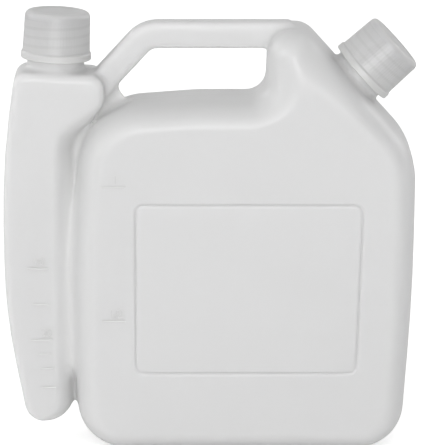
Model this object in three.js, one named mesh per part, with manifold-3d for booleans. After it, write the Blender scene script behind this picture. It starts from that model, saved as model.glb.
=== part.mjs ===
// Fuel mixing bottle, in millimetres, +Z up and the front face toward -Y.
// One blow-moulded bottle with two chambers and a hollow handle, and two screw caps with liners.
import * as THREE from 'three';
import { mergeVertices } from 'three/addons/utils/BufferGeometryUtils.js';
import Module from 'manifold-3d';

const wasm = await Module();
wasm.setup();

// Walls and running clearances
const wall = 1.4;
const webThickness = 2.4;
const seatGap = 0.3;
const arcStep = 9;
const longestChord = 11;

// Petrol chamber, its corners from the foot round to the shoulder
const bodyDepth = 56;
const bodyEdgeDepth = 16;
const bodyEdgeReach = 10;
const bodyEdgeSteps = 6;
const bodyFootLeft = -58.6;
const bodyFootRight = 86.2;
const bodyBellyLeft = -61.4;
const bodyBellyLeftHeight = 85;
const bodyBellyRight = 91.4;
const bodyBellyRightHeight = 70;
const bodyRight = 92.3;
const bodyTop = 158.8;
const bodyTopFall = 3.8;
const bodyTopBreak = -5;
const bodyShoulderLeft = -55.5;
const bodyFootLeftRadius = 21;
const bodyFootRightRadius = 20;
const bodyBellyLeftRadius = 300;
const bodyBellyRightRadius = 900;
const bodyShoulderLeftRadius = 30;
const bodyShoulderRightRadius = 36;
const bodyPeakRadius = 11.4;

// Slanted shoulder that carries the petrol neck: angle of its normal, and where its top corner is
const slantAngle = 42;
const peakX = 43;

// Gap for the hand
const gripRight = 26.3;
const gripHeight = 21.5;
const gripLean = 1.4;
const gripCornerRadius = 9;

// Oil chamber
const oilDepth = 33;
const oilEdge = 4;
const oilEdgeSteps = 4;
const oilFootLeft = -81.6;
const oilFloor = 11;
const oilFlankLeft = -91.5;
const oilFlankLeftHeight = 62;
const oilLeft = -92.3;
const oilLeftHeight = 127;
const oilShoulderLeft = -86.4;
const oilTopRise = 12.5;
const oilTopFall = 1.5;
const oilCornerRight = -46.6;
const oilCornerSide = 14.3;
const oilRight = -62;
const oilFlareRise = 17.5;
const oilFootRadius = 9.8;
const oilFlankRadius = 250;
const oilLeftRadius = 350;
const oilShoulderRadius = 6;
const oilCornerRadius = 7;
const oilWaistRadius = 12;

// Handle, hollow from the oil chamber to the petrol chamber
const handleDepth = 12.5;
const handleEdge = 2.5;
const handleEdgeSteps = 3;
const handleThickness = 12.1;
const handleSlope = 47.4;
const handleBendX = -30.6;
const handleBendRadius = 18;
const peakDrop = 2.1;
const peakLean = 0.5;
const handleRoot = 7.5;

// Web between the chambers
const webArch = 22.4;
const webOverlap = 4;
const saddleX = -38.6;

// Engraved frame on the front face
const panelLeft = -32.7;
const panelTopRight = 68.5;
const panelFootRight = 65.6;
const panelTop = 113.9;
const panelFoot = 37.2;
const panelRadius = 4.2;
const grooveWidth = 1.1;
const grooveDepth = 0.4;

// Necks and caps, both of one size
const neckRadius = 12.7;
const neckWall = 1.35;
const neckFlare = 1.9;
const neckFlareHeight = 2.6;
const neckSink = 14;
const neckSegments = 40;
const capHeight = 21.3;
const capTopWall = 1.6;
const capBoreRadius = 13.8;
const capSkirtWall = 1.35;
const capDraft = 0.6;
const capEdgeRadius = 2.2;
const capRingHeight = 3.6;
const capRingFlare = 0.65;
const linerThickness = 1.2;
const linerClearance = 0.3;

// Each neck: its place along the shoulder, its lean from upright and the neck left bare
const oilNeckX = -68.5;
const oilNeckLean = 2.7;
const oilNeckBare = 4.8;
const petrolNeckAlong = 32.6;
const petrolNeckBare = 4;

const degrees = Math.PI / 180;

// An outline from corners [x, z, radius], each corner rounded by a tangent arc
function roundedOutline(corners) {
  const points = [];
  corners.forEach(([x, z, radius], index) => {
    const here = new THREE.Vector2(x, z);
    const before = corners[(index + corners.length - 1) % corners.length];
    const after = corners[(index + 1) % corners.length];
    const back = new THREE.Vector2(before[0], before[1]).sub(here).normalize();
    const ahead = new THREE.Vector2(after[0], after[1]).sub(here).normalize();
    const half = Math.acos(THREE.MathUtils.clamp(back.dot(ahead), -1, 1)) / 2;
    if (!radius) {
      points.push(here);
      return;
    }
    const start = back.clone().multiplyScalar(radius / Math.tan(half)).add(here);
    const middle = back.clone().add(ahead).normalize().multiplyScalar(radius / Math.sin(half)).add(here);
    const turn = (Math.PI - 2 * half) * Math.sign(ahead.cross(back) || 1);
    const steps = Math.ceil(Math.abs(turn) / Math.min(arcStep * degrees, longestChord / radius));
    const arm = start.clone().sub(middle);
    for (let step = 0; step <= steps; step += 1) {
      points.push(arm.clone().rotateAround(new THREE.Vector2(), (turn * step) / steps).add(middle));
    }
  });
  return points;
}

// A plate of the given depth about y = 0, its edges rounded over edgeDepth and edgeReach.
// With an inset it is the hollow that leaves a wall of that thickness.
function slab(outline, depth, edgeDepth, edgeReach, edgeSteps, inset = 0) {
  const geometry = new THREE.ExtrudeGeometry(new THREE.Shape(outline), {
    depth: depth - 2 * edgeDepth,
    steps: 1,
    bevelEnabled: true,
    bevelThickness: edgeDepth - inset,
    bevelSize: edgeReach - inset,
    bevelOffset: -edgeReach,
    bevelSegments: edgeSteps,
  });
  geometry.translate(0, 0, edgeDepth - depth / 2);
  geometry.rotateX(Math.PI / 2);
  return geometry;
}

// A plate with plain edges from y = from to y = to
function plate(outline, from, to) {
  const geometry = new THREE.ExtrudeGeometry(new THREE.Shape(outline), {
    depth: to - from,
    steps: 1,
    bevelEnabled: false,
  });
  geometry.rotateX(Math.PI / 2);
  geometry.translate(0, to, 0);
  return geometry;
}

// A turned form about +Z from a profile of [radius, height]
function turned(profile) {
  const geometry = new THREE.LatheGeometry(profile.map(([r, h]) => new THREE.Vector2(r, h)), neckSegments);
  geometry.rotateX(Math.PI / 2);
  return geometry;
}

function solid(geometry) {
  const plain = geometry.index ? geometry.toNonIndexed() : geometry.clone();
  plain.deleteAttribute('normal');
  plain.deleteAttribute('uv');
  const merged = mergeVertices(plain, 1e-4);
  const mesh = new wasm.Mesh({
    numProp: 3,
    vertProperties: new Float32Array(merged.attributes.position.array),
    triVerts: new Uint32Array(merged.index.array),
  });
  return new wasm.Manifold(mesh);
}

function geometryOf(body) {
  const mesh = body.getMesh();
  const geometry = new THREE.BufferGeometry();
  geometry.setAttribute('position', new THREE.BufferAttribute(new Float32Array(mesh.vertProperties), 3));
  geometry.setIndex(new THREE.BufferAttribute(new Uint32Array(mesh.triVerts), 1));
  return geometry;
}

// Stands a form built about +Z on a neck: lean turns it toward +X
function place(geometry, foot, lean, rise) {
  geometry.translate(0, 0, rise);
  geometry.rotateY(lean * degrees);
  geometry.translate(foot[0], 0, foot[1]);
  return geometry;
}

// Heights that follow from the top of the petrol chamber, the hand gap and the handle
const handleUnder = bodyTop + gripHeight;
const handleTop = handleUnder + handleThickness;
const bodyPeak = handleTop - peakDrop;
const oilTop = bodyTop + oilTopRise;
const oilCornerHeight = oilTop - oilCornerSide;
const oilWaistHeight = oilCornerHeight - oilFlareRise;

// Outline of the petrol chamber
const slantNormal = new THREE.Vector2(Math.cos(slantAngle * degrees), Math.sin(slantAngle * degrees));
const slantDown = new THREE.Vector2(slantNormal.y, -slantNormal.x);
const peak = new THREE.Vector2(peakX, bodyPeak);
const slantAtSide = peak.y + ((bodyRight - peak.x) / slantDown.x) * slantDown.y;
const bodyOutline = roundedOutline([
  [bodyFootLeft, 0, bodyFootLeftRadius],
  [bodyFootRight, 0, bodyFootRightRadius],
  [bodyBellyRight, bodyBellyRightHeight, bodyBellyRightRadius],
  [bodyRight, slantAtSide, bodyShoulderRightRadius],
  [peakX, bodyPeak, bodyPeakRadius],
  [gripRight, bodyPeak - peakLean, bodyPeakRadius],
  [gripRight - gripLean, bodyTop, gripCornerRadius],
  [bodyTopBreak, bodyTop, 0],
  [bodyShoulderLeft, bodyTop - bodyTopFall, bodyShoulderLeftRadius],
  [bodyBellyLeft, bodyBellyLeftHeight, bodyBellyLeftRadius],
]);

// Outline of the oil chamber
const oilTopAt = (x) => oilTop - (oilTopFall * (x - oilShoulderLeft)) / (oilCornerRight - oilShoulderLeft);
const oilOutline = roundedOutline([
  [oilFootLeft, oilFloor, oilFootRadius],
  [oilRight, oilFloor, oilFootRadius],
  [oilRight, oilWaistHeight, oilWaistRadius],
  [oilCornerRight, oilCornerHeight, oilCornerRadius * 0.9],
  [oilCornerRight, oilTopAt(oilCornerRight), oilCornerRadius * 0.9],
  [oilShoulderLeft, oilTop, oilShoulderRadius],
  [oilLeft, oilLeftHeight, oilLeftRadius],
  [oilFlankLeft, oilFlankLeftHeight, oilFlankRadius],
]);

// Outline of the handle: level grip, then a branch that runs down into the oil chamber
const branchFall = Math.tan(handleSlope * degrees);
const branchWidth = handleThickness / Math.sin(handleSlope * degrees);
const outerAt = (z) => handleBendX - (handleTop - z) / branchFall;
const innerAt = (z) => outerAt(z) + branchWidth;
const rootX = oilCornerRight - handleRoot;
const rootTop = oilTopAt(rootX) - oilEdge;
const rootFoot = oilCornerHeight + oilEdge / 2;
const handleOutline = roundedOutline([
  [rootX, rootFoot, 0],
  [innerAt(rootFoot), rootFoot, 0],
  [innerAt(handleUnder), handleUnder, handleBendRadius - handleThickness],
  [gripRight + bodyPeakRadius, handleUnder, 0],
  [peakX, bodyPeak - bodyPeakRadius, 0],
  [peakX - peakDrop, handleTop - 1.5 * peakDrop, 0],
  [gripRight + bodyPeakRadius - peakDrop, handleTop, 0],
  [handleBendX, handleTop, handleBendRadius],
  [outerAt(rootTop + oilEdge), rootTop + oilEdge, 0],
  [rootX, rootTop, 0],
]);

// Outline of the web, which reaches into both chambers and the handle root
const webOutline = [
  [bodyBellyLeft + webOverlap + 2, webArch],
  [bodyBellyLeft + webOverlap + 2, bodyBellyLeftHeight + 20],
  [saddleX + webOverlap, bodyTop - bodyTopFall - 1.5 * webOverlap],
  [saddleX + webOverlap / 2, bodyTop - bodyTopFall],
  [saddleX, bodyTop],
  [innerAt(bodyTop + webOverlap) - 1, bodyTop + webOverlap],
  [rootX, rootTop],
  [rootX, oilCornerHeight - webOverlap],
  [oilRight - webOverlap, oilWaistHeight - webOverlap],
  [oilRight - webOverlap, webArch],
].map(([x, z]) => new THREE.Vector2(x, z));

// Neck and bore: the rim stands where the liner seats
const neckReach = capHeight - capTopWall - seatGap - linerThickness - seatGap;
function neckForm(bare) {
  const rim = bare + neckReach;
  return turned([
    [0, -neckSink],
    [neckRadius + neckFlare, -neckSink],
    [neckRadius + neckFlare, 0],
    [neckRadius, neckFlareHeight],
    [neckRadius, rim],
    [0, rim],
  ]);
}
function boreForm(bare) {
  const rim = bare + neckReach + wall;
  const radius = neckRadius - neckWall;
  return turned([
    [0, -neckSink],
    [radius + neckFlare, -neckSink],
    [radius + neckFlare, -wall],
    [radius, neckFlareHeight],
    [radius, rim],
    [0, rim],
  ]);
}

// Panel frame: a shallow groove that runs round a rounded rectangle
function panelOutline(grow) {
  return roundedOutline([
    [panelLeft - grow, panelFoot - grow, panelRadius + grow],
    [panelFootRight + grow, panelFoot - grow, panelRadius + grow],
    [panelTopRight + grow, panelTop + grow, panelRadius + grow],
    [panelLeft - grow, panelTop + grow, panelRadius + grow],
  ]);
}

const front = -bodyDepth / 2;
const groove = solid(plate(panelOutline(grooveWidth / 2), front - wall, front + grooveDepth))
  .subtract(solid(plate(panelOutline(-grooveWidth / 2), front - 2 * wall, front + 2 * grooveDepth)));

const bodySlab = (inset) => solid(slab(bodyOutline, bodyDepth, bodyEdgeDepth, bodyEdgeReach, bodyEdgeSteps, inset));
const oilSlab = (inset) => solid(slab(oilOutline, oilDepth, oilEdge, oilEdge, oilEdgeSteps, inset));
const handleSlab = (inset) => solid(slab(handleOutline, handleDepth, handleEdge, handleEdge, handleEdgeSteps, inset));
const petrolFoot = slantDown.clone().multiplyScalar(petrolNeckAlong).add(peak);
const necks = [
  ['oil', [oilNeckX, oilTopAt(oilNeckX)], oilNeckLean, oilNeckBare],
  ['petrol', [petrolFoot.x, petrolFoot.y], 90 - slantAngle, petrolNeckBare],
];

let bottleBody = bodySlab(0)
  .add(oilSlab(0))
  .add(handleSlab(0))
  .add(solid(plate(webOutline, -webThickness / 2, webThickness / 2)));
for (const [, foot, lean, bare] of necks) {
  bottleBody = bottleBody.add(solid(place(neckForm(bare), foot, lean, 0)));
}
bottleBody = bottleBody.subtract(bodySlab(wall)).subtract(oilSlab(wall)).subtract(handleSlab(wall));
for (const [, foot, lean, bare] of necks) {
  bottleBody = bottleBody.subtract(solid(place(boreForm(bare), foot, lean, 0)));
}
bottleBody = bottleBody.subtract(groove);

// Cap, turned in one piece with its flared ring
function capForm() {
  const skirt = capBoreRadius + capSkirtWall;
  const shoulder = skirt - capDraft;
  const edge = [0, 30, 60, 90].map((angle) => [
    shoulder - capEdgeRadius * (1 - Math.cos(angle * degrees)),
    capHeight - capEdgeRadius * (1 - Math.sin(angle * degrees)),
  ]);
  return turned([
    [capBoreRadius, 0],
    [skirt + capRingFlare, 0],
    [skirt + capRingFlare, capRingHeight * 0.8],
    [skirt, capRingHeight],
    ...edge,
    [0, capHeight],
    [0, capHeight - capTopWall],
    [capBoreRadius, capHeight - capTopWall],
    [capBoreRadius, 0],
  ]);
}
function linerForm() {
  const radius = capBoreRadius - linerClearance;
  const top = capHeight - capTopWall - seatGap;
  return turned([[0, top - linerThickness], [radius, top - linerThickness], [radius, top], [0, top]]);
}

function piece(name, geometry, colour, roughness) {
  const flat = geometry.toNonIndexed();
  flat.computeVertexNormals();
  const mesh = new THREE.Mesh(flat, new THREE.MeshStandardMaterial({ color: colour, roughness, metalness: 0 }));
  mesh.name = name;
  return mesh;
}

const part = new THREE.Group();
part.name = 'fuel_mixing_bottle';
part.add(piece('bottle', geometryOf(bottleBody), 0xdcdcda, 0.5));
for (const [name, foot, lean, bare] of necks) {
  const cap = solid(place(capForm(), foot, lean, bare));
  const liner = solid(place(linerForm(), foot, lean, bare));
  part.add(piece(`${name}_cap`, geometryOf(cap), 0xcfcfcd, 0.45));
  part.add(piece(`${name}_cap_liner`, geometryOf(liner), 0xe6e6e2, 0.8));
}

// The origin goes to the middle of the footprint, on the ground
const box = new THREE.Box3().setFromObject(part);
for (const mesh of part.children) {
  mesh.geometry.translate(-(box.min.x + box.max.x) / 2, -(box.min.y + box.max.y) / 2, -box.min.z);
}

export default part;
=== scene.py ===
import math
import bpy
import numpy as np
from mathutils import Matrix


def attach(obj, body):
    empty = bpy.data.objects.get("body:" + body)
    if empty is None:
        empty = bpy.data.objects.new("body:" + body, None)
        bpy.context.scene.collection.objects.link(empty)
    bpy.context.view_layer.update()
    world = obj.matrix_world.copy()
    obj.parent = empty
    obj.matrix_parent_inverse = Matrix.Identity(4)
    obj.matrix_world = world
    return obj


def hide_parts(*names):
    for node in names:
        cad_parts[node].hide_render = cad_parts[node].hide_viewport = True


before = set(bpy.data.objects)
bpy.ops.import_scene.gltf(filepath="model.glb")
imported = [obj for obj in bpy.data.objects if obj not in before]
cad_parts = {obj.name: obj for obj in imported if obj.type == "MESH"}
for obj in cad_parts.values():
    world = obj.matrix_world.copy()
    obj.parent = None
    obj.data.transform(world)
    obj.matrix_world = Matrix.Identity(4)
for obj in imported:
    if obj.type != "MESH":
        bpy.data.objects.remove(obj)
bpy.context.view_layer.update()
print("stage: frame loaded")

mm = 0.001


# Meshes from arrays

def smoothShade(mesh, angle):
    # smooth all over, with a sharp edge wherever faces meet at more than the angle
    mesh.polygons.foreach_set("use_smooth", np.ones(len(mesh.polygons), bool))
    mesh.set_sharp_from_angle(angle=math.radians(angle))


def meshObject(name, points, faces, smoothAngle=None):
    # points in millimetres, faces as an array of quads or a list of polygons
    mesh = bpy.data.meshes.new(name)
    mesh.from_pydata((np.asarray(points) * mm).tolist(), [], [list(map(int, face)) for face in faces])
    mesh.validate()
    mesh.update()
    if smoothAngle:
        smoothShade(mesh, smoothAngle)
    shape = bpy.data.objects.new(name, mesh)
    bpy.context.scene.collection.objects.link(shape)
    return shape


def gridFaces(rows, columns):
    # quads of a grid whose columns run round and close on themselves
    row = np.arange(rows - 1)[:, None] * columns
    column = np.arange(columns)[None, :]
    following = (column + 1) % columns
    corners = [row + column, row + following, row + columns + following, row + columns + column]
    return np.stack(corners, -1).reshape(-1, 4)


def ramp(value, low, high):
    # 0 below low, 1 above high, smooth between
    t = np.clip((value - low) / (high - low), 0, 1)
    return t * t * (3 - 2 * t)


# The bottle's sizes in millimetres, its outlines in the x z plane as x, z, radius of each corner

bottle = {
    "shiftX": -0.2041,
    "wall": 1.4,
    "arcStepDegrees": 2.5,
    "fieldStep": 0.6,
    "fieldSpanX": (-100, 100.1),
    "fieldSpanZ": (-8, 206),
    "halfDepth": 27.8,
    "edgeDepth": 16.0,
    "edgeReach": 10.0,
    "shoulderMiddle": (38, 170),
    "shoulderSpread": (15, 20),
    "shoulderExtraReach": 6.0,
    "oilHalfDepth": 16.5,
    "oilEdge": 2.8,
    "oilInnerEdge": 9.0,
    "oilInnerSpanX": (-80, -64),
    "oilInnerFade": 0.9,
    "oilInnerFadeSpanZ": (140, 158),
    "handleHalfDepth": 6.25,
    "handleEdge": 2.5,
    "handleBlend": 2.2,
    "webHalf": 1.8,
    "webRound": 0.8,
    "webBlend": 9.0,
    "gapBlendLess": 5.0,
    "gapSpanZ": (148, 158),
    "oilBlend": 2.0,
    "valleyBlend": 6.0,
    "valleySpanZ": (22, 40),
    "grooveDepth": 0.45,
    "grooveWidth": 0.5,
    "seamHeight": 0.14,
    "seamWidth": 0.4,
    "seamSpanZ": (1, 5),
    "smoothAngle": 40,
    "bodyCorners": [
        (-58.6, 0, 21), (86.2, 0, 20), (91.4, 70, 900), (92.3, 135.55, 36), (43, 190.3, 11.4),
        (26.3, 189.8, 11.4), (24.9, 158.8, 9), (-5, 158.8, 160), (-55.5, 155, 30), (-61.4, 85, 300)],
    "oilCorners": [
        (-81.6, 11, 9.8), (-62, 11, 9.8), (-62, 139.5, 12), (-46.6, 157, 7), (-46.6, 169.8, 7),
        (-86.4, 171.3, 6), (-92.3, 127, 350), (-91.5, 62, 250)],
    "handleCorners": [
        (-54.1, 159, 0), (-45.0, 159, 0), (-25.3, 180.3, 6), (37.7, 180.3, 0), (43, 178.9, 0),
        (40.9, 189.2, 0), (35.6, 192.4, 0), (-30.6, 192.4, 18), (-51.2, 170.0, 0), (-54.1, 166.1, 0)],
    "webCorners": [
        (-55.4, 22.4, 0), (-55.4, 105, 0), (-34.6, 149, 0), (-36.6, 155, 0), (-38.6, 158.8, 2),
        (-42.0, 163, 0), (-54.1, 166.1, 0), (-54.1, 153, 0), (-66, 135.5, 0), (-66, 22.4, 0)],
    "panelCorners": [(-32.7, 37.2, 4.2), (65.6, 37.2, 4.2), (68.5, 113.9, 4.2), (-32.7, 113.9, 4.2)],
}


def roundedOutline(corners):
    # each corner with a radius is rounded by a tangent arc
    points = []
    step = math.radians(bottle["arcStepDegrees"])
    for index, (x, z, radius) in enumerate(corners):
        here = np.array([x, z], float)
        back = np.array(corners[index - 1][:2], float) - here
        ahead = np.array(corners[(index + 1) % len(corners)][:2], float) - here
        back /= np.linalg.norm(back)
        ahead /= np.linalg.norm(ahead)
        if not radius:
            points.append(here)
            continue
        half = math.acos(np.clip(back @ ahead, -1, 1)) / 2
        start = here + back * radius / math.tan(half)
        middle = here + (back + ahead) / np.linalg.norm(back + ahead) * radius / math.sin(half)
        turn = (math.pi - 2 * half) * (1 if ahead[0] * back[1] - ahead[1] * back[0] > 0 else -1)
        count = max(3, round(abs(turn) / step))
        arm = start - middle
        for angle in turn * np.arange(count + 1) / count:
            cosine, sine = math.cos(angle), math.sin(angle)
            points.append(middle + [arm[0] * cosine - arm[1] * sine, arm[0] * sine + arm[1] * cosine])
    outline = np.array(points)
    outline[:, 0] += bottle["shiftX"]
    return outline


def insideDistance(outline, x, z):
    # distance to the outline, positive inside it
    nearest = np.full(x.shape, np.inf)
    inside = np.zeros(x.shape, bool)
    for (ax, az), (bx, bz) in zip(outline, np.roll(outline, -1, 0)):
        dx, dz = bx - ax, bz - az
        along = np.clip(((x - ax) * dx + (z - az) * dz) / max(dx * dx + dz * dz, 1e-12), 0, 1)
        nearest = np.minimum(nearest, (x - ax - along * dx) ** 2 + (z - az - along * dz) ** 2)
        if dz:
            inside ^= ((az > z) != (bz > z)) & (x < dx * (z - az) / dz + ax)
    return np.sqrt(nearest) * np.where(inside, 1, -1)


fieldX = np.arange(*bottle["fieldSpanX"], bottle["fieldStep"])
fieldZ = np.arange(*bottle["fieldSpanZ"], bottle["fieldStep"])
fieldPoints = np.meshgrid(fieldX, fieldZ, indexing="ij")
fields = {name: insideDistance(roundedOutline(bottle[name + "Corners"]), *fieldPoints)
          for name in ("body", "oil", "handle", "web", "panel")}
print("stage: outlines measured")


def lookUp(name, x, z):
    # an outline's distance at any point, read between the points of its field
    justShort = 1.001  # keeps the last cell inside the field
    u = np.clip((x - fieldX[0]) / bottle["fieldStep"], 0, len(fieldX) - justShort)
    v = np.clip((z - fieldZ[0]) / bottle["fieldStep"], 0, len(fieldZ) - justShort)
    i, j = u.astype(int), v.astype(int)
    u, v = u - i, v - j
    field = fields[name]
    return ((field[i, j] * (1 - u) + field[i + 1, j] * u) * (1 - v)
            + (field[i, j + 1] * (1 - u) + field[i + 1, j + 1] * u) * v)


# Necks and their caps' threads, one size for both; each place has its foot, its lean and its bare height

neck = {
    "radius": 12.75,
    "boreRadius": 11.2,
    "boreBevel": 0.4,
    "boreDepth": 7,
    "borePastRim": 1,
    "boreColumns": 96,
    "stubHeight": 3.2,
    "stubDepth": 12,
    "stubShrink": 0.05,
    "fillet": 3.6,
    "plugDepth": 4,
    "reach": 17.9,
    "rimEdge": 0.5,
    "rimRows": 5,
    "pitch": 4.0,
    "threadHeight": 0.8,
    "threadHalfWidth": 0.95,
    "threadFlat": 0.35,
    "threadRunOut": 0.25,
    "threadStart": 1.6,
    "threadTurns": 3.6,
    "columns": 128,
    "rowStep": 0.36,
}
necks = {
    "oil": {"foot": (-68.7041, 0, 170.6254), "lean": 2.7, "bare": 4.8},
    "petrol": {"foot": (64.6096, 0, 166.0735), "lean": 48.0, "bare": 4.0},
}


def axisOf(place):
    # the way a neck points, leaned from +z towards +x
    lean = math.radians(place["lean"])
    return np.array([math.sin(lean), 0, math.cos(lean)])


def standOn(points, place, rise=0.0):
    # turns a form built about +z onto a neck's axis
    lean = math.radians(place["lean"])
    x, y, z = points[..., 0], points[..., 1], points[..., 2] + rise
    cosine, sine = math.cos(lean), math.sin(lean)
    return np.stack([x * cosine + z * sine, y, z * cosine - x * sine], -1) + np.array(place["foot"])


# The bottle's skin as a field: below zero inside, about the distance in millimetres near the skin

def smoothMin(a, b, width):
    # the smaller of two fields, their meeting rounded off over the width
    h = np.maximum(width - np.abs(a - b), 0) / width
    return np.minimum(a, b) - h * h * width / 4


def roundedPlate(inward, across, halfDepth, edgeDepth, reach):
    # a plate whose edge is a quarter ellipse: reach in from the outline, edgeDepth in from the face
    core, tiny = 0.05, 1e-6
    q = np.maximum(reach - inward, 0) / reach
    w = np.maximum(across - (halfDepth - edgeDepth), 0) / edgeDepth
    s = np.sqrt(q * q + w * w)
    slope = np.sqrt((q / reach) ** 2 + (w / edgeDepth) ** 2) / np.maximum(s, tiny)
    return np.where(s < core, -np.minimum(reach, edgeDepth), (s - 1) / np.maximum(slope, tiny))


def chambers(p):
    # body, oil chamber, handle and web as plates, joined one after another by soft blends
    x, y, z = p[..., 0], p[..., 1], p[..., 2]
    across = np.abs(y)
    b = bottle
    (shoulderX, shoulderZ), (spreadX, spreadZ) = b["shoulderMiddle"], b["shoulderSpread"]
    wide = np.exp(-((x - shoulderX) / spreadX) ** 2 - ((z - shoulderZ) / spreadZ) ** 2)
    bodyReach = b["edgeReach"] + b["shoulderExtraReach"] * wide
    body = roundedPlate(lookUp("body", x, z), across, b["halfDepth"], b["edgeDepth"], bodyReach)
    inner = ramp(x, *b["oilInnerSpanX"]) * (1 - b["oilInnerFade"] * ramp(z, *b["oilInnerFadeSpanZ"]))
    oilEdge = b["oilEdge"] + (b["oilInnerEdge"] - b["oilEdge"]) * inner
    oil = roundedPlate(lookUp("oil", x, z), across, b["oilHalfDepth"], oilEdge, oilEdge)
    handleEdge = b["handleEdge"]
    handle = roundedPlate(lookUp("handle", x, z), across, b["handleHalfDepth"], handleEdge, handleEdge)
    web = -smoothMin(lookUp("web", x, z), b["webHalf"] - across, b["webRound"])
    field = smoothMin(body, oil, b["oilBlend"] + b["valleyBlend"] * ramp(z, *b["valleySpanZ"]))
    field = smoothMin(field, handle, b["handleBlend"])
    return smoothMin(field, web, b["webBlend"] - b["gapBlendLess"] * ramp(z, *b["gapSpanZ"]))


def skin(p):
    # the chambers with the necks' feet, the panel's groove and the mould seam
    x, y, z = p[..., 0], p[..., 1], p[..., 2]
    field = chambers(p)
    for place in necks.values():
        axis = axisOf(place)
        along = (p - place["foot"]) @ axis
        off = np.linalg.norm(p - place["foot"] - along[..., None] * axis, axis=-1)
        ends = np.maximum(along - neck["stubHeight"], -neck["stubDepth"] - along)
        field = smoothMin(field, np.maximum(off - neck["radius"] + neck["stubShrink"], ends), neck["fillet"])
    front = y < -bottle["halfDepth"] / 2
    groove = np.exp(-(lookUp("panel", x, z) / bottle["grooveWidth"]) ** 2) * front
    seam = (np.exp(-(y / bottle["seamWidth"]) ** 2) - 1) * ramp(z, *bottle["seamSpanZ"])
    return field + bottle["grooveDepth"] * groove - bottle["seamHeight"] * seam


def hollow(p):
    # the inner face, one wall in from the chambers
    return chambers(p) + bottle["wall"]


def surfaceOf(field, grid):
    # one vertex in each grid cell that the surface crosses, then pulled onto the surface along the slope
    lines = [grid["x"], grid["y"], grid["z"]]
    values = field(np.stack(np.meshgrid(*lines, indexing="ij"), -1))
    cells = tuple(n - 1 for n in values.shape)
    total = np.zeros(cells + (3,))
    count = np.zeros(cells)
    quads = []
    for axis in range(3):
        b, c = (axis + 1) % 3, (axis + 2) % 3
        low = np.take(values, range(values.shape[axis] - 1), axis)
        high = np.take(values, range(1, values.shape[axis]), axis)
        where = np.argwhere((low < 0) != (high < 0))
        inner = (where[:, b] > 0) & (where[:, b] < cells[b]) & (where[:, c] > 0) & (where[:, c] < cells[c])
        where = where[inner]
        f0, f1 = low[tuple(where.T)], high[tuple(where.T)]
        t = f0 / (f0 - f1)
        point = np.stack([lines[k][where[:, k]] for k in range(3)], -1)
        point[:, axis] += t * (lines[axis][where[:, axis] + 1] - lines[axis][where[:, axis]])
        around = []
        for stepB, stepC in ((-1, -1), (0, -1), (0, 0), (-1, 0)):
            cell = where.copy()
            cell[:, b] += stepB
            cell[:, c] += stepC
            np.add.at(total, tuple(cell.T), point)
            np.add.at(count, tuple(cell.T), 1)
            around.append(np.ravel_multi_index(tuple(cell.T), cells))
        quad = np.stack(around, -1)
        quad[f0 > 0] = quad[f0 > 0][:, ::-1]
        quads.append(quad)
    used = np.flatnonzero(count.ravel())
    number = np.full(count.size, -1)
    number[used] = np.arange(len(used))
    points = total.reshape(-1, 3)[used] / count.ravel()[used][:, None]
    probe, leastSteep, longestPull = 0.04, 0.25, 0.6
    steps = probe * np.eye(3)
    for _ in range(grid["pulls"]):
        here = field(points)
        slope = np.stack([(field(points + step) - field(points - step)) / (2 * probe) for step in steps], -1)
        steep = np.maximum((slope ** 2).sum(-1), leastSteep)
        points -= np.clip(here / steep, -longestPull, longestPull)[:, None] * slope
    return points, number[np.concatenate(quads)]


def gridLines(*stretches):
    # start, end and step of each stretch; neighbours share their end
    lines = [np.linspace(a, b, max(2, round((b - a) / step) + 1)) for a, b, step in stretches]
    return np.unique(np.round(np.concatenate(lines), 6))


def mirrored(values):
    # lines on both sides of the middle plane
    return np.unique(np.concatenate([-values, values]))


# millimetres, with finer steps by the panel's groove, the valley between the chambers and the seam
skinGrid = {
    "x": gridLines((-94.5, -64, 1.6), (-64, -57, 0.9), (-57, -34.3, 1.6), (-34.3, -31.5, 0.4),
                   (-31.5, 64.2, 2.0), (64.2, 69.8, 0.45), (69.8, 94.5, 1.5)),
    "y": mirrored(gridLines((0, 1.05, 0.35), (1.05, 2.65, 0.8), (2.65, 7.45, 0.96), (7.45, 12, 1.6),
                            (12, 17, 1.25), (17, 29, 1.33))),
    "z": gridLines((-1.4, 35.8, 1.6), (35.8, 38.6, 0.4), (38.6, 112.5, 2.0), (112.5, 115.3, 0.4),
                   (115.3, 199, 1.5)),
    "pulls": 4,
}
hollowGrid = {
    "x": gridLines((-94.5, 94.5, 2.7)),
    "y": mirrored(gridLines((0, 6, 1.5), (6, 29, 2.6))),
    "z": gridLines((-1.4, 197, 2.7)),
    "pulls": 3,
}


# Turned forms, built about +z

def closedForm(rings, firstHeight, lastHeight):
    # rings of points from the low pole to the high one, closed by a fan at each pole
    rows, columns = rings.shape[:2]
    faces = gridFaces(rows, columns).tolist()
    last = rows * columns
    top = last - columns
    faces += [[(c + 1) % columns, c, last] for c in range(columns)]
    faces += [[top + c, top + (c + 1) % columns, last + 1] for c in range(columns)]
    points = np.concatenate([rings.reshape(-1, 3), [[0, 0, firstHeight], [0, 0, lastHeight]]])
    return points, faces


def turnedForm(profile, columns):
    # profile radius, height from the axis out and back to the axis
    profile = np.array(profile, float)
    angle = np.linspace(0, 2 * math.pi, columns, endpoint=False)
    ring = profile[1:-1]
    heights = np.repeat(ring[:, 1:], columns, 1)
    points = np.stack([ring[:, :1] * np.cos(angle), ring[:, :1] * np.sin(angle), heights], -1)
    return closedForm(points, profile[0, 1], profile[-1, 1])


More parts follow.
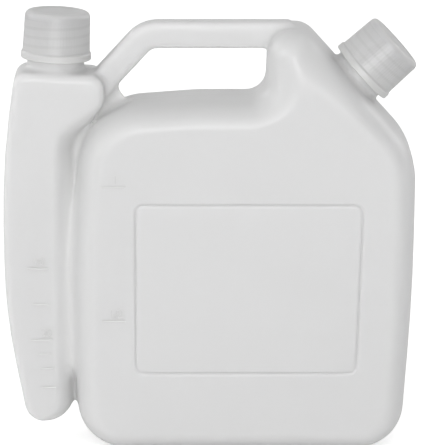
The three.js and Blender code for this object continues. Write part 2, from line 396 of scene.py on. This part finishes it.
def ridge(angle, height, start, turns, rise, halfWidth):
    # a helical ridge that climbs one pitch a turn and runs out at both ends
    pitch, runOut = neck["pitch"], neck["threadRunOut"]
    turn = np.round((height - start) / pitch - angle / (2 * math.pi))
    travelled = turn + angle / (2 * math.pi)
    off = np.abs(height - start - pitch * travelled)
    ends = ramp(travelled, 0, runOut) * (1 - ramp(travelled, turns - runOut, turns))
    return rise * ends * (1 - ramp(off, neck["threadFlat"] * halfWidth, halfWidth))


def neckPlug(place):
    # solid stub with the outer thread and a rounded rim, bored later
    columns, edge = neck["columns"], neck["rimEdge"]
    rim = place["bare"] + neck["reach"]
    angle = np.linspace(0, 2 * math.pi, columns, endpoint=False)[None, :]
    heights = np.arange(-neck["plugDepth"], rim - edge, neck["rowStep"])[:, None]
    radius = neck["radius"] + ridge(angle, heights, place["bare"] + neck["threadStart"], neck["threadTurns"],
                                    neck["threadHeight"], neck["threadHalfWidth"])
    rounding = np.radians(np.linspace(0, 90, neck["rimRows"]))[:, None]
    rimRadius = neck["radius"] - edge + edge * np.cos(rounding)
    radius = np.concatenate([radius, np.repeat(rimRadius, columns, 1)])
    heights = np.concatenate([heights, rim - edge + edge * np.sin(rounding)])
    heights = np.repeat(heights, columns, 1)
    rings = np.stack([radius * np.cos(angle), radius * np.sin(angle), heights], -1)
    return closedForm(rings, -neck["plugDepth"], rim)


def neckBore(place):
    # what is cut from the stub: a straight bore whose mouth has a bevel
    bore, bevel, foot = neck["boreRadius"], neck["boreBevel"], -neck["boreDepth"]
    rim = place["bare"] + neck["reach"]
    above = rim + neck["borePastRim"]
    profile = [(0, foot), (bore, foot), (bore, rim - bevel),
               (bore + bevel, rim), (bore + bevel, above), (0, above)]
    return turnedForm(profile, neck["boreColumns"])


def combine(target, tool, operation):
    # joins or cuts by the tool's mesh and keeps the result as the target's own
    change = target.modifiers.new("combine", "BOOLEAN")
    change.operation = operation
    change.solver = "MANIFOLD"
    change.object = tool
    evaluated = target.evaluated_get(bpy.context.evaluated_depsgraph_get())
    mesh = bpy.data.meshes.new_from_object(evaluated)
    target.modifiers.clear()
    target.data = mesh
    bpy.data.objects.remove(tool)


bottleSkin = meshObject("bottleSkin", *surfaceOf(skin, skinGrid))
print("stage: skin has", len(bottleSkin.data.polygons), "faces")
inside = meshObject("inside", *surfaceOf(hollow, hollowGrid))
print("stage: hollow has", len(inside.data.polygons), "faces")
combine(bottleSkin, inside, "DIFFERENCE")
for place in necks.values():
    for form, operation in ((neckPlug, "UNION"), (neckBore, "DIFFERENCE")):
        points, faces = form(place)
        combine(bottleSkin, meshObject("tool", standOn(points, place), faces), operation)
print("stage: bottle joined,", len(bottleSkin.data.polygons), "faces")
smoothShade(bottleSkin.data, bottle["smoothAngle"])
bottleSkin.data.name = "bottleSkin"


# Caps: ribbed skirt, flared ring and inner thread; liners pressed into them

cap = {
    "height": 21.3,
    "topWall": 1.6,
    "boreRadius": 13.8,
    "boreEdge": 0.3,
    "boreLeadIn": 0.1,
    "boreFoot": 0.35,
    "ceilingShares": (0.3, 0.97),
    "footEdge": 0.25,
    "skirtRadius": 15.1,
    "draft": 0.6,
    "edgeRadius": 2.2,
    "edgeDegrees": (8, 90),
    "edgeRows": 9,
    "ringHeight": 3.6,
    "ringFlare": 0.6,
    "ringStep": 1.0,
    "ringRows": 14,
    "ringRowsPast": 0.6,
    "skirtRowsFrom": 1.0,
    "ribs": 72,
    "ribDepth": 0.07,
    "ribsAboveRing": (0.3, 1.2),
    "ribsBelowTop": (3.6, 2.4),
    "threadHeight": 0.75,
    "threadHalfWidth": 0.8,
    "threadTurns": 3.3,
    "dish": 0.35,
    "dishShare": (0.79, 0.87),
    "topShares": (0.93, 0.86, 0.84, 0.8, 0.55, 0.25),
    "columns": 288,
    "rowStep": 0.42,
    "outerStep": 0.62,
    "smoothAngle": 50,
}
liner = {
    "thickness": 1.2,
    "radius": 13.5,
    "edge": 0.15,
    "gap": 0.3,
    "rimOffset": 0.75,
    "pressHalf": 0.9,
    "pressSlope": 0.4,
    "pressDepth": 0.12,
    "columns": 96,
    "smoothAngle": 40,
}


def capRings():
    # rings of points: out over the inner face, down the bore, round the foot, up the skirt, in over the top
    c = cap
    angle = np.linspace(0, 2 * math.pi, c["columns"], endpoint=False)[None, :]
    ceiling = c["height"] - c["topWall"]
    innerHeights = np.arange(ceiling - c["boreEdge"], c["boreFoot"], -c["rowStep"])[:, None]
    threadStart = neck["threadStart"] + neck["pitch"] / 2
    bore = c["boreRadius"] - ridge(
        angle, innerHeights, threadStart, c["threadTurns"], c["threadHeight"], c["threadHalfWidth"])
    ringTop, skirtTop = c["ringHeight"], c["height"] - c["edgeRadius"]
    footRows = np.linspace(c["footEdge"], ringTop + c["ringRowsPast"], c["ringRows"])
    skirtRows = np.arange(ringTop + c["skirtRowsFrom"], skirtTop, c["outerStep"])
    outerHeights = np.concatenate([footRows, skirtRows])[:, None]
    ring = c["ringFlare"] * (1 - ramp(outerHeights, ringTop - c["ringStep"], ringTop))
    ribsFrom, ribsTo = np.add(ringTop, c["ribsAboveRing"]), np.subtract(c["height"], c["ribsBelowTop"])
    ribbed = ramp(outerHeights, *ribsFrom) * (1 - ramp(outerHeights, *ribsTo))
    ribs = c["ribDepth"] * ribbed * (0.5 + 0.5 * np.cos(c["ribs"] * angle))
    skirt = c["skirtRadius"] - c["draft"] * outerHeights / c["height"] + ring - ribs
    edge = np.radians(np.linspace(*c["edgeDegrees"], c["edgeRows"]))[:, None]
    topRadius = c["skirtRadius"] - c["draft"] - c["edgeRadius"]
    across = np.array(c["topShares"])[:, None]
    profile = [(share * c["boreRadius"], ceiling) for share in c["ceilingShares"]] + [
        (bore, innerHeights),
        (c["boreRadius"] + c["boreLeadIn"], c["boreLeadIn"]), (c["boreRadius"] + c["boreEdge"], 0.0),
        (c["skirtRadius"] + c["ringFlare"] - c["footEdge"], 0.0),
        (skirt, outerHeights),
        (topRadius + c["edgeRadius"] * np.cos(edge), c["height"] - c["edgeRadius"] * (1 - np.sin(edge))),
        (across * topRadius, c["height"] - c["dish"] * (1 - ramp(across, *c["dishShare"]))),
    ]
    rows = []
    for radius, height in profile:
        radius = radius * np.ones_like(angle)
        height = np.broadcast_to(height, radius.shape)
        rows.append(np.stack([radius * np.cos(angle), radius * np.sin(angle), height], -1))
    return np.concatenate(rows)


def buildCap(name, place):
    points, faces = closedForm(capRings(), cap["height"] - cap["topWall"], cap["height"] - cap["dish"])
    shape = meshObject(name, standOn(points, place, place["bare"]), faces, cap["smoothAngle"])
    # for the material's painted thread shade: the turn about the axis, and the height in thread pitches
    turn = np.arctan2(points[:, 1], points[:, 0])
    facts = np.stack([np.cos(turn), np.sin(turn), points[:, 2] / neck["pitch"]], -1)
    attribute = shape.data.attributes.new("thread", "FLOAT_VECTOR", "POINT")
    attribute.data.foreach_set("vector", facts.ravel())
    return shape


def buildLiner(name, place):
    # a disc with the ring that the neck's rim has pressed into it
    top = cap["height"] - cap["topWall"] - liner["gap"]
    low = top - liner["thickness"]
    pressed = low + liner["pressDepth"]
    rim, half = neck["boreRadius"] + liner["rimOffset"], liner["pressHalf"]
    r, edge = liner["radius"], liner["edge"]
    profile = [(0, low), (r / 2, low), (rim - half - liner["pressSlope"], low), (rim - half, pressed),
               (rim + half, pressed), (r - edge, low), (r, low + edge), (r, top - edge), (r - edge, top),
               (r / 2, top), (0, top)]
    points, faces = turnedForm(profile, liner["columns"])
    return meshObject(name, standOn(points, place, place["bare"]), faces, liner["smoothAngle"])


caps, liners = {}, {}
for name, place in necks.items():
    caps[name] = buildCap(name + "CapShell", place)
    liners[name] = buildLiner(name + "LinerDisc", place)
print("stage: caps and liners made")


# Measuring marks, raised a little from the front faces

marks = {
    "raise": 0.3,
    "sunk": 0.4,
    "barHeight": 0.8,
    "barSlope": 0.12,
    "bodyFace": -27.66,
    "oilFace": -16.36,
    "digitSize": 5.2,
    "digitCurveSteps": 4,
    "smoothAngle": 30,
    # face, middle x, z, length
    "bars": [
        ("body", -42.6, 61.0, 10.4), ("body", -42.6, 121.9, 10.4),
        ("oil", -75.4, 49.6, 9.8), ("oil", -74.0, 43.1, 6.4), ("oil", -73.0, 36.4, 6.4),
        ("oil", -72.0, 27.6, 6.4), ("oil", -76.4, 82.4, 9.8), ("oil", -75.6, 66.0, 6.4)],
    # face, text, middle x, foot z
    "numbers": [
        ("body", "1/2", -41.6, 62.8), ("body", "1", -41.6, 123.7),
        ("oil", "20", -73.0, 51.3), ("oil", "40", -76.4, 84.1)],
}


def barShape(face, x, z, length):
    # a bar let into the face, its front a little smaller than its back
    front = marks[face + "Face"]
    near, far = front - marks["raise"], front + marks["sunk"]
    half, rise, slope = length / 2, marks["barHeight"] / 2, marks["barSlope"]
    corners = [(-half, -rise), (half, -rise), (half, rise), (-half, rise)]
    points = [(x + a, far, z + b) for a, b in corners]
    points += [(x + a - math.copysign(slope, a), near, z + b - math.copysign(slope, b)) for a, b in corners]
    faces = [[3, 2, 1, 0], [4, 5, 6, 7], [0, 1, 5, 4], [1, 2, 6, 5], [2, 3, 7, 6], [3, 0, 4, 7]]
    return points, faces


def numberShape(face, text, x, z):
    # a number in the built-in font, made into a mesh standing on the face
    curve = bpy.data.curves.new("number" + text, "FONT")
    curve.body = text
    curve.align_x = "CENTER"
    curve.size = marks["digitSize"] * mm
    curve.extrude = 0.5 * (marks["raise"] + marks["sunk"]) * mm
    curve.resolution_u = marks["digitCurveSteps"]
    holder = bpy.data.objects.new("number", curve)
    bpy.context.scene.collection.objects.link(holder)
    mesh = bpy.data.meshes.new_from_object(holder.evaluated_get(bpy.context.evaluated_depsgraph_get()))
    bpy.data.objects.remove(holder)
    flat = np.empty(len(mesh.vertices) * 3)
    mesh.vertices.foreach_get("co", flat)
    flat = flat.reshape(-1, 3) / mm
    middle = marks[face + "Face"] + 0.5 * (marks["sunk"] - marks["raise"])
    points = np.stack([x + flat[:, 0], middle - flat[:, 2], z + flat[:, 1]], -1)
    return points.tolist(), [list(polygon.vertices) for polygon in mesh.polygons]


markPoints, markFaces = [], []
shapes = [barShape(*bar) for bar in marks["bars"]] + [numberShape(*number) for number in marks["numbers"]]
for points, faces in shapes:
    markFaces += [[index + len(markPoints) for index in face] for face in faces]
    markPoints += points
levelMarks = meshObject("levelMarks", markPoints, markFaces, marks["smoothAngle"])
print("stage: marks made,", len(markFaces), "faces")


# Materials

def nodeGroup(name, inputs, outputs):
    # inputs as name: default value, outputs as name: socket type
    group = bpy.data.node_groups.new(name, "ShaderNodeTree")
    for label, value in inputs.items():
        kind = "NodeSocketColor" if isinstance(value, tuple) else "NodeSocketFloat"
        group.interface.new_socket(label, in_out="INPUT", socket_type=kind).default_value = value
    for label, kind in outputs.items():
        group.interface.new_socket(label, in_out="OUTPUT", socket_type=kind)
    return group, group.nodes.new("NodeGroupInput"), group.nodes.new("NodeGroupOutput")


def addNode(tree, kind, **values):
    # each value is one of the node's own settings, or an input socket's default with _ for a space
    node = tree.nodes.new("ShaderNode" + kind)
    for label, value in values.items():
        if hasattr(node, label):
            setattr(node, label, value)
        else:
            node.inputs[label.replace("_", " ")].default_value = value
    return node


def mixColors(tree, factor, a, b):
    # each colour is a value or a socket
    mix = tree.nodes.new("ShaderNodeMix")
    mix.data_type = "RGBA"
    tree.links.new(factor, mix.inputs["Factor"])
    for socket, value in ((mix.inputs["A"], a), (mix.inputs["B"], b)):
        if isinstance(value, bpy.types.NodeSocket):
            tree.links.new(value, socket)
        else:
            socket.default_value = value
    return mix.outputs["Result"]


def makeMilkyTone():
    # faint clouds of thicker and thinner wall
    group, given, result = nodeGroup(
        "milkyTone",
        {"Color": (0.7, 0.7, 0.7, 1.0), "Deep Color": (0.6, 0.6, 0.6, 1.0),
         "Cloud Scale": 18.0, "Amount": 0.5},
        {"Color": "NodeSocketColor"})
    place = addNode(group, "TexCoord")
    clouds = addNode(group, "TexNoise", Detail=2.0, Roughness=0.45)
    group.links.new(place.outputs["Object"], clouds.inputs["Vector"])
    group.links.new(given.outputs["Cloud Scale"], clouds.inputs["Scale"])
    spread = addNode(group, "MapRange", interpolation_type="SMOOTHSTEP", From_Min=0.35, From_Max=0.68)
    group.links.new(clouds.outputs["Fac"], spread.inputs["Value"])
    group.links.new(given.outputs["Amount"], spread.inputs["To Max"])
    mixed = mixColors(group, spread.outputs["Result"], given.outputs["Color"], given.outputs["Deep Color"])
    group.links.new(mixed, result.inputs["Color"])
    return group


def makeMouldGrain():
    # fine blasted-mould grain, a slow waviness, and the roughness that goes with them
    group, given, result = nodeGroup(
        "mouldGrain",
        {"Grain Scale": 2400.0, "Wave Scale": 40.0, "Wave Share": 3.0,
         "Roughness": 0.4, "Roughness Spread": 0.1},
        {"Height": "NodeSocketFloat", "Roughness": "NodeSocketFloat"})
    place = addNode(group, "TexCoord")
    grain = addNode(group, "TexNoise", Detail=3.0, Roughness=0.6)
    waves = addNode(group, "TexNoise", Detail=1.0, Roughness=0.4)
    for texture, scale in ((grain, "Grain Scale"), (waves, "Wave Scale")):
        group.links.new(place.outputs["Object"], texture.inputs["Vector"])
        group.links.new(given.outputs[scale], texture.inputs["Scale"])
    height = addNode(group, "Math", operation="MULTIPLY_ADD")
    group.links.new(waves.outputs["Fac"], height.inputs[0])
    group.links.new(given.outputs["Wave Share"], height.inputs[1])
    group.links.new(grain.outputs["Fac"], height.inputs[2])
    group.links.new(height.outputs["Value"], result.inputs["Height"])
    centred = addNode(group, "Math", operation="SUBTRACT")
    group.links.new(grain.outputs["Fac"], centred.inputs[0])
    centred.inputs[1].default_value = 0.5  # the grain's own middle
    rough = addNode(group, "Math", operation="MULTIPLY_ADD")
    group.links.new(centred.outputs["Value"], rough.inputs[0])
    group.links.new(given.outputs["Roughness Spread"], rough.inputs[1])
    group.links.new(given.outputs["Roughness"], rough.inputs[2])
    group.links.new(rough.outputs["Value"], result.inputs["Roughness"])
    return group


def makePaintedThreadShade():
    # painted shade of the inner thread, seen faintly through a cap's skirt: 1 on the thread, 0 between its
    # turns
    group, given, result = nodeGroup("paintedThreadShade", {"First": 0.6, "Last": 4.6}, {"Band": "NodeSocketFloat"})
    thread = addNode(group, "Attribute", attribute_name="thread")
    parts = addNode(group, "SeparateXYZ")
    group.links.new(thread.outputs["Vector"], parts.inputs["Vector"])
    angle = addNode(group, "Math", operation="ARCTAN2")
    group.links.new(parts.outputs["Y"], angle.inputs[0])
    group.links.new(parts.outputs["X"], angle.inputs[1])
    phase = addNode(group, "Math", operation="MULTIPLY_ADD")
    group.links.new(parts.outputs["Z"], phase.inputs[0])
    phase.inputs[1].default_value = -2 * math.pi
    group.links.new(angle.outputs["Value"], phase.inputs[2])
    wave = addNode(group, "Math", operation="COSINE")
    group.links.new(phase.outputs["Value"], wave.inputs[0])
    band = addNode(group, "MapRange", interpolation_type="SMOOTHSTEP", From_Min=0.1, From_Max=0.95)
    group.links.new(wave.outputs["Value"], band.inputs["Value"])
    above = addNode(group, "Math", operation="GREATER_THAN")
    below = addNode(group, "Math", operation="LESS_THAN")
    for test, limit in ((above, "First"), (below, "Last")):
        group.links.new(parts.outputs["Z"], test.inputs[0])
        group.links.new(given.outputs[limit], test.inputs[1])
    within = addNode(group, "Math", operation="MULTIPLY")
    group.links.new(above.outputs["Value"], within.inputs[0])
    group.links.new(below.outputs["Value"], within.inputs[1])
    shown = addNode(group, "Math", operation="MULTIPLY")
    group.links.new(within.outputs["Value"], shown.inputs[0])
    group.links.new(band.outputs["Result"], shown.inputs[1])
    group.links.new(shown.outputs["Value"], result.inputs["Band"])
    return group


milkyTone = makeMilkyTone()
mouldGrain = makeMouldGrain()
paintedThreadShade = makePaintedThreadShade()


def useGroup(tree, group, **values):
    # a group with its input sockets set, _ for a space
    node = tree.nodes.new("ShaderNodeGroup")
    node.node_tree = group
    for label, value in values.items():
        node.inputs[label.replace("_", " ")].default_value = value
    return node


def milkyPlastic(name, look):
    # a look with a band colour gets the painted shade of its inner thread
    material = bpy.data.materials.new(name)
    material.use_nodes = True
    tree = material.node_tree
    shader = tree.nodes["Principled BSDF"]
    for label, value in look["shader"].items():
        shader.inputs[label].default_value = value
    tone = useGroup(tree, milkyTone, Color=look["color"], Deep_Color=look["deepColor"],
                    Cloud_Scale=look["cloudScale"], Amount=look["cloudAmount"])
    grain = useGroup(tree, mouldGrain, **look["grain"])
    color = tone.outputs["Color"]
    if "threadShadeColor" in look:
        threadShadeNode = useGroup(tree, paintedThreadShade, First=look["bandFirst"], Last=look["bandLast"])
        color = mixColors(tree, threadShadeNode.outputs["Band"], color, look["threadShadeColor"])
    tree.links.new(color, shader.inputs["Base Color"])
    tree.links.new(grain.outputs["Roughness"], shader.inputs["Roughness"])
    bump = addNode(tree, "Bump", Strength=look["bumpStrength"], Distance=look["bumpDistance"])
    tree.links.new(grain.outputs["Height"], bump.inputs["Height"])
    tree.links.new(bump.outputs["Normal"], shader.inputs["Normal"])
    return material


bottleLook = {
    "color": (0.72, 0.72, 0.715, 1.0),
    "deepColor": (0.69, 0.69, 0.685, 1.0),
    "cloudScale": 14.0,
    "cloudAmount": 0.6,
    "grain": {
        "Grain_Scale": 2200.0, "Wave_Scale": 34.0, "Wave_Share": 4.0,
        "Roughness": 0.38, "Roughness_Spread": 0.1},
    "bumpStrength": 0.35,
    "bumpDistance": 0.00006,
    "shader": {
        "Subsurface Weight": 0.7, "Subsurface Radius": (0.007, 0.007, 0.0068), "Subsurface Scale": 1.0,
        "IOR": 1.51, "Specular IOR Level": 0.5},
}
# the marks' plastic has no subsurface, and its colour is set darker than the bottle's as painted shade, so
# that the low raised marks show
paintedShadeMarkLook = {
    **bottleLook,
    "color": (0.665, 0.665, 0.66, 1.0),
    "deepColor": (0.65, 0.65, 0.645, 1.0),
    "shader": {"IOR": 1.51, "Specular IOR Level": 0.5},
}
capLook = {
    "color": (0.555, 0.555, 0.552, 1.0),
    "deepColor": (0.53, 0.53, 0.527, 1.0),
    # the band colour is painted shade where the inner thread lies behind the skirt
    "threadShadeColor": (0.51, 0.51, 0.507, 1.0),
    "bandFirst": 0.75,
    "bandLast": 4.55,
    "cloudScale": 60.0,
    "cloudAmount": 0.5,
    "grain": {
        "Grain_Scale": 2600.0, "Wave_Scale": 120.0, "Wave_Share": 2.0,
        "Roughness": 0.36, "Roughness_Spread": 0.08},
    "bumpStrength": 0.25,
    "bumpDistance": 0.00004,
    "shader": {
        "Subsurface Weight": 0.8, "Subsurface Radius": (0.005, 0.005, 0.0048), "Subsurface Scale": 1.0,
        "IOR": 1.51, "Specular IOR Level": 0.5},
}
linerLook = {
    "color": (0.82, 0.82, 0.8, 1.0),
    "deepColor": (0.76, 0.76, 0.74, 1.0),
    "cloudScale": 500.0,
    "cloudAmount": 0.8,
    "grain": {
        "Grain_Scale": 1500.0, "Wave_Scale": 300.0, "Wave_Share": 1.0,
        "Roughness": 0.75, "Roughness_Spread": 0.1},
    "bumpStrength": 0.6,
    "bumpDistance": 0.00015,
    "shader": {"IOR": 1.45, "Specular IOR Level": 0.35},
}


def dress(shape, material, node):
    # a piece's one material, the node that it moves with and its slot
    shape.data.materials.clear()
    shape.data.materials.append(material)
    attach(shape, node)


dress(bottleSkin, milkyPlastic("bottlePlastic", bottleLook), "bottle")
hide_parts("bottle")
dress(levelMarks, milkyPlastic("paintedShadeMarkPlastic", paintedShadeMarkLook), "bottle")
capMaterial = milkyPlastic("capPlastic", capLook)
linerMaterial = milkyPlastic("linerFoam", linerLook)
for name in necks:
    dress(caps[name], capMaterial, name + "_cap")
    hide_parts(name + "_cap")
    # the liner rides the seat, which rises with the cap and doesn't turn
    dress(liners[name], linerMaterial, name + "_cap_seat")
    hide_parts(name + "_cap_liner")
print("stage: materials given")


# Camera, floor and light

view = {
    "distance": 1.8,
    "elevation": 12.5,
    "aim": (0.0009, 0.0, 0.1001),
    "sensorWidth": 36.0,
    # in picture units, as the picture's width is
    "focalLength": 4000,
    "pictureWidth": 423,
    "clipEnd": 60,
}
studio = {
    "floorSize": 12.0,
    "floorColor": (0.92, 0.92, 0.92, 1.0),
    "floorRoughness": 0.9,
    "floorGlow": 0.45,
    "white": (1, 1, 1, 1),
    "worldStrength": 0.58,
    "backdropStrength": 1.0,
    # how much of the white backdrop the reflections see
    "shineShare": 0.5,
    # place, aimed at, width, depth, power
    "lights": {
        "frontLight": ((-0.15, -2.97, 0.45), (0, 0, 0.1), 1.3, 1.0, 34.8),
        "leftLight": ((-2.46, -1.15, 1.37), (0, 0, 0.1), 1.0, 1.0, 13.0),
        "stripLight": ((-0.31, -1.75, 2.0), (0, 0, 0.1), 2.2, 0.3, 6.5),
        "backRightLight": ((2.2, 1.5, 1.1), (0, 0, 0.1), 1.0, 1.0, 9.0),
        "backLeftLight": ((-2.2, 1.5, 1.1), (0, 0, 0.1), 1.0, 1.0, 9.0)},
}

lift = math.radians(view["elevation"])
camera = bpy.data.objects.new("camera", bpy.data.cameras.new("camera"))
camera.location = np.array(view["aim"]) + view["distance"] * np.array([0, -math.cos(lift), math.sin(lift)])
camera.rotation_euler = (math.pi / 2 - lift, 0, 0)
camera.data.sensor_fit = "HORIZONTAL"
camera.data.sensor_width = view["sensorWidth"]
camera.data.lens = view["focalLength"] * view["sensorWidth"] / view["pictureWidth"]
camera.data.clip_end = view["clipEnd"]
bpy.context.scene.collection.objects.link(camera)
bpy.context.scene.camera = camera
bpy.context.scene.view_settings.view_transform = "Standard"


def makeFloorMaterial():
    # a pale floor that glows to the camera alone, so that it meets the white backdrop and keeps the shadow
    material = bpy.data.materials.new("paleFloor")
    material.use_nodes = True
    tree = material.node_tree
    shader = tree.nodes["Principled BSDF"]
    shader.inputs["Base Color"].default_value = studio["floorColor"]
    shader.inputs["Roughness"].default_value = studio["floorRoughness"]
    shader.inputs["Emission Color"].default_value = studio["white"]
    path = addNode(tree, "LightPath")
    glow = addNode(tree, "Math", operation="MULTIPLY")
    tree.links.new(path.outputs["Is Camera Ray"], glow.inputs[0])
    glow.inputs[1].default_value = studio["floorGlow"]
    tree.links.new(glow.outputs["Value"], shader.inputs["Emission Strength"])
    return material


half = studio["floorSize"] / 2 / mm
floorCorners = [(-half, -half, 0), (half, -half, 0), (half, half, 0), (-half, half, 0)]
floor = meshObject("floor", floorCorners, [(0, 1, 2, 3)])
floor.data.materials.append(makeFloorMaterial())


def areaLight(name, place, target, width, depth, power):
    # a rectangle of light aimed at the target, power in watts
    light = bpy.data.lights.new(name, "AREA")
    light.shape = "RECTANGLE"
    light.size = width
    light.size_y = depth
    light.energy = power
    shape = bpy.data.objects.new(name, light)
    shape.location = place
    away = np.array(place) - np.array(target)
    tilt = math.atan2(math.hypot(away[0], away[1]), away[2])
    shape.rotation_euler = (tilt, 0, math.atan2(away[0], -away[1]))
    bpy.context.scene.collection.objects.link(shape)


for name, values in studio["lights"].items():
    areaLight(name, *values)


def makeWorld():
    # an even soft light, with a white backdrop for the camera and partly for the reflections
    world = bpy.data.worlds.new("studio")
    world.use_nodes = True
    tree = world.node_tree
    soft = tree.nodes["Background"]
    backdrop = addNode(tree, "Background")
    for background, strength in ((soft, "worldStrength"), (backdrop, "backdropStrength")):
        background.inputs["Color"].default_value = studio["white"]
        background.inputs["Strength"].default_value = studio[strength]
    path = addNode(tree, "LightPath")
    seen = addNode(tree, "Math", operation="MULTIPLY_ADD", use_clamp=True)
    tree.links.new(path.outputs["Is Glossy Ray"], seen.inputs[0])
    seen.inputs[1].default_value = studio["shineShare"]
    tree.links.new(path.outputs["Is Camera Ray"], seen.inputs[2])
    mixed = addNode(tree, "MixShader")
    tree.links.new(seen.outputs["Value"], mixed.inputs["Fac"])
    tree.links.new(soft.outputs["Background"], mixed.inputs[1])
    tree.links.new(backdrop.outputs["Background"], mixed.inputs[2])
    tree.links.new(mixed.outputs["Shader"], tree.nodes["World Output"].inputs["Surface"])
    return world


bpy.context.scene.world = makeWorld()
print("stage: studio ready")
